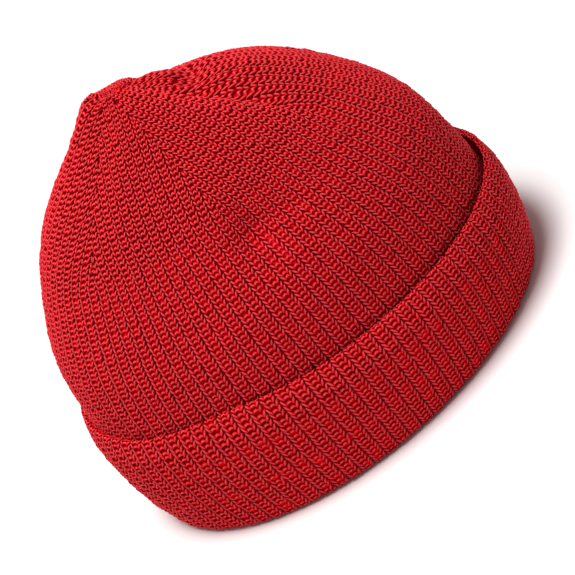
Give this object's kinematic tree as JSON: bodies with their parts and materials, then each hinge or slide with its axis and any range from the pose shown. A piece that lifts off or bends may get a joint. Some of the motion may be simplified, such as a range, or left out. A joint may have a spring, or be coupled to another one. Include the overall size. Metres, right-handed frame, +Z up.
{
  "type": "knitted beanie with a turned-up cuff",
  "caption": "Rib-knitted beanie: a domed crown whose ribs end along darts that meet at the top, and a deep turned-up cuff on whose fold the hat stands.",
  "frame": {"origin": "middle of the hat's box, in the plane that the rim rests on", "axes": "+Z up through the crown, -Y to the front, -X to the wearer's right"},
  "size_m": [0.162, 0.2166, 0.1765],
  "materials": {
    "knit": "red rib knit of smooth plied yarn, slightly lustrous, with dark grooves between the ribs"
  },
  "bodies": {
    "root": {"crown": "knit", "cuff": "knit"}
  },
  "joints": []
}
